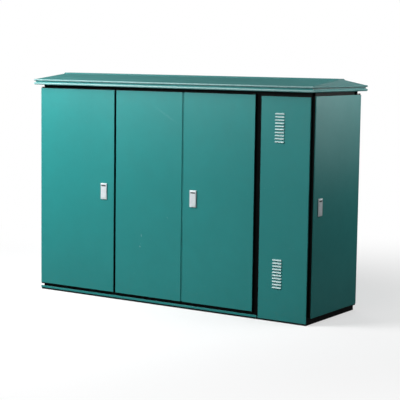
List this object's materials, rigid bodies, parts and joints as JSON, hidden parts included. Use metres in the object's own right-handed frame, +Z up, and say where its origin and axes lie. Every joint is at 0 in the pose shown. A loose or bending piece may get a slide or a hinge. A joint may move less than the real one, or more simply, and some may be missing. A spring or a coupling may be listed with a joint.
{
  "type": "compact substation",
  "caption": "Green steel compact substation cabinet with front double doors, single doors, louvred panel, side door, low gable roof, switchgear and transformer inside.",
  "frame": {"origin": "middle of the footprint, on the ground", "axes": "+X along the long front towards the service side door, +Y to the rear, +Z up; the three tall doors face -Y"},
  "size_m": [2.826, 0.954, 1.955],
  "materials": {
    "cabinet_green_paint": "satin powder coat",
    "frame_black_paint": "satin",
    "lock_chrome": "polished die casting",
    "zinc_plated_steel": "zinc plated",
    "galvanised_sheet": "galvanised",
    "black_rubber": "matte",
    "screen_mesh": "woven wire",
    "switchgear_grey_paint": "fine texture",
    "black_plastic": "moulded",
    "red_plastic": "moulded",
    "brown_epoxy": "cast resin",
    "lead_insulation": "silicone sheath",
    "core_steel": "varnished laminations",
    "clamp_blue_paint": "painted steel",
    "lv_winding_resin": "resin impregnated",
    "hv_winding_resin": "cast resin",
    "copper": "bare copper bar",
    "dark_plastic": "moulded"
  },
  "bodies": {
    "root": {"base_channels": "frame_black_paint", "cable_grommets": "black_rubber", "eave_tray": "cabinet_green_paint", "floor_plates": "galvanised_sheet", "frame_gaskets": "black_rubber", "frame_headers": "frame_black_paint", "frame_posts": "frame_black_paint", "frame_screws": "zinc_plated_steel", "gland_plates": "galvanised_sheet", "hinge_brackets": "frame_black_paint", "hv_insulators": "brown_epoxy", "hv_leads": "lead_insulation", "hv_switch_case": "switchgear_grey_paint", "hv_switch_fascia": "switchgear_grey_paint", "insect_screens": "screen_mesh", "left_end_panel": "cabinet_green_paint", "lock_keepers": "frame_black_paint", "louvre_panel": "cabinet_green_paint", "louvre_panel_backing": "frame_black_paint", "lv_board": "galvanised_sheet", "lv_breakers": "dark_plastic", "lv_busbars": "copper", "partitions": "galvanised_sheet", "rear_panels": "cabinet_green_paint", "ridge_cap": "cabinet_green_paint", "roof_sheet": "cabinet_green_paint", "sill_strip": "cabinet_green_paint", "transformer_clamps": "clamp_blue_paint", "transformer_core": "core_steel", "transformer_feet_and_pads": "clamp_blue_paint", "transformer_hv_windings": "hv_winding_resin", "transformer_lv_windings": "lv_winding_resin"},
    "hv_handle": {"hv_operating_handle": "black_plastic"},
    "hv_earth_handle": {"hv_earthing_handle": "red_plastic"},
    "main_handle": {"main_switch_handle": "red_plastic"},
    "toggle_1": {"feeder_toggle_1": "black_plastic"},
    "toggle_2": {"feeder_toggle_2": "black_plastic"},
    "toggle_3": {"feeder_toggle_3": "black_plastic"},
    "door_1": {"door_1_skin": "cabinet_green_paint", "door_1_inner_frame": "frame_black_paint", "door_1_lock_housing": "lock_chrome"},
    "door_2": {"door_2_skin": "cabinet_green_paint", "door_2_inner_frame": "frame_black_paint"},
    "door_3": {"door_3_skin": "cabinet_green_paint", "door_3_inner_frame": "frame_black_paint", "door_3_lock_housing": "lock_chrome"},
    "side_door": {"side_door_skin": "cabinet_green_paint", "side_door_inner_frame": "frame_black_paint", "side_door_lock_housing": "lock_chrome"},
    "top_bolt": {"door_2_top_bolt": "zinc_plated_steel"},
    "bottom_bolt": {"door_2_bottom_bolt": "zinc_plated_steel"},
    "door_1_lever": {"door_1_lock_lever": "lock_chrome"},
    "door_1_button": {"door_1_lock_button": "lock_chrome"},
    "door_1_latch_bar": {"door_1_latch": "zinc_plated_steel"},
    "door_3_lever": {"door_3_lock_lever": "lock_chrome"},
    "door_3_button": {"door_3_lock_button": "lock_chrome"},
    "door_3_latch_bar": {"door_3_latch": "zinc_plated_steel"},
    "side_door_lever": {"side_door_lock_lever": "lock_chrome"},
    "side_door_button": {"side_door_lock_button": "lock_chrome"},
    "side_door_latch_bar": {"side_door_latch": "zinc_plated_steel"}
  },
  "joints": [
    {"name": "door_1_hinge", "type": "hinge", "parent": "root", "child": "door_1", "pos_m": [-1.356, -0.4175, 0.94], "axis": [0, 0, -1], "range_deg": [0, 110]},
    {"name": "door_2_hinge", "type": "hinge", "parent": "root", "child": "door_2", "pos_m": [-0.514, -0.4175, 0.94], "axis": [0, 0, -1], "range_deg": [0, 110]},
    {"name": "door_3_hinge", "type": "hinge", "parent": "root", "child": "door_3", "pos_m": [0.853, -0.4175, 0.94], "axis": [0, 0, 1], "range_deg": [0, 110]},
    {"name": "side_door_hinge", "type": "hinge", "parent": "root", "child": "side_door", "pos_m": [1.3825, 0.382, 0.94], "axis": [0, 0, 1], "range_deg": [0, 110]},
    {"name": "door_1_lever_turn", "type": "hinge", "parent": "door_1", "child": "door_1_lever", "pos_m": [-0.6525, -0.4365, 0.883], "axis": [1, 0, 0], "range_deg": [0, 55]},
    {"name": "door_1_latch_slide", "type": "slide", "parent": "door_1", "child": "door_1_latch_bar", "axis": [-1, 0, 0], "range_m": [0, 0.02]},
    {"name": "door_1_button_press", "type": "slide", "parent": "door_1", "child": "door_1_button", "axis": [0, 1, 0], "range_m": [0, 0.0035], "stiffness_N_per_m": 600, "springref_m": -0.002},
    {"name": "door_3_lever_turn", "type": "hinge", "parent": "door_3", "child": "door_3_lever", "pos_m": [0.2805, -0.4365, 0.883], "axis": [1, 0, 0], "range_deg": [0, 55]},
    {"name": "door_3_latch_slide", "type": "slide", "parent": "door_3", "child": "door_3_latch_bar", "axis": [1, 0, 0], "range_m": [0, 0.02]},
    {"name": "door_3_button_press", "type": "slide", "parent": "door_3", "child": "door_3_button", "axis": [0, 1, 0], "range_m": [0, 0.0035], "stiffness_N_per_m": 600, "springref_m": -0.002},
    {"name": "side_door_lever_turn", "type": "hinge", "parent": "side_door", "child": "side_door_lever", "pos_m": [1.4015, -0.293, 0.883], "axis": [0, 1, 0], "range_deg": [0, 55]},
    {"name": "side_door_latch_slide", "type": "slide", "parent": "side_door", "child": "side_door_latch_bar", "axis": [0, 1, 0], "range_m": [0, 0.02]},
    {"name": "side_door_button_press", "type": "slide", "parent": "side_door", "child": "side_door_button", "axis": [-1, 0, 0], "range_m": [0, 0.0035], "stiffness_N_per_m": 600, "springref_m": -0.002},
    {"name": "top_bolt_slide", "type": "slide", "parent": "door_2", "child": "top_bolt", "axis": [0, 0, 1], "range_m": [0, 0.022]},
    {"name": "bottom_bolt_slide", "type": "slide", "parent": "door_2", "child": "bottom_bolt", "axis": [0, 0, -1], "range_m": [0, 0.022]},
    {"name": "hv_handle_turn", "type": "hinge", "parent": "root", "child": "hv_handle", "pos_m": [-0.95, -0.221, 1.15], "axis": [0, 1, 0], "range_deg": [0, 90]},
    {"name": "hv_earth_handle_turn", "type": "hinge", "parent": "root", "child": "hv_earth_handle", "pos_m": [-0.95, -0.221, 0.9], "axis": [0, -1, 0], "range_deg": [0, 90]},
    {"name": "main_handle_turn", "type": "hinge", "parent": "root", "child": "main_handle", "pos_m": [1.135, 0, 1.06], "axis": [-1, 0, 0], "range_deg": [0, 90]},
    {"name": "toggle_1_throw", "type": "hinge", "parent": "root", "child": "toggle_1", "pos_m": [1.079, -0.15, 0.62], "axis": [0, -1, 0], "range_deg": [0, 40]},
    {"name": "toggle_2_throw", "type": "hinge", "parent": "root", "child": "toggle_2", "pos_m": [1.079, 0, 0.62], "axis": [0, -1, 0], "range_deg": [0, 40]},
    {"name": "toggle_3_throw", "type": "hinge", "parent": "root", "child": "toggle_3", "pos_m": [1.079, 0.15, 0.62], "axis": [0, -1, 0], "range_deg": [0, 40]}
  ],
  "couplings": [
    {"joint": "door_1_latch_slide", "follows": "door_1_lever_turn", "m_per_rad": 0.0205},
    {"joint": "door_3_latch_slide", "follows": "door_3_lever_turn", "m_per_rad": 0.0205},
    {"joint": "side_door_latch_slide", "follows": "side_door_lever_turn", "m_per_rad": 0.0205}
  ]
}
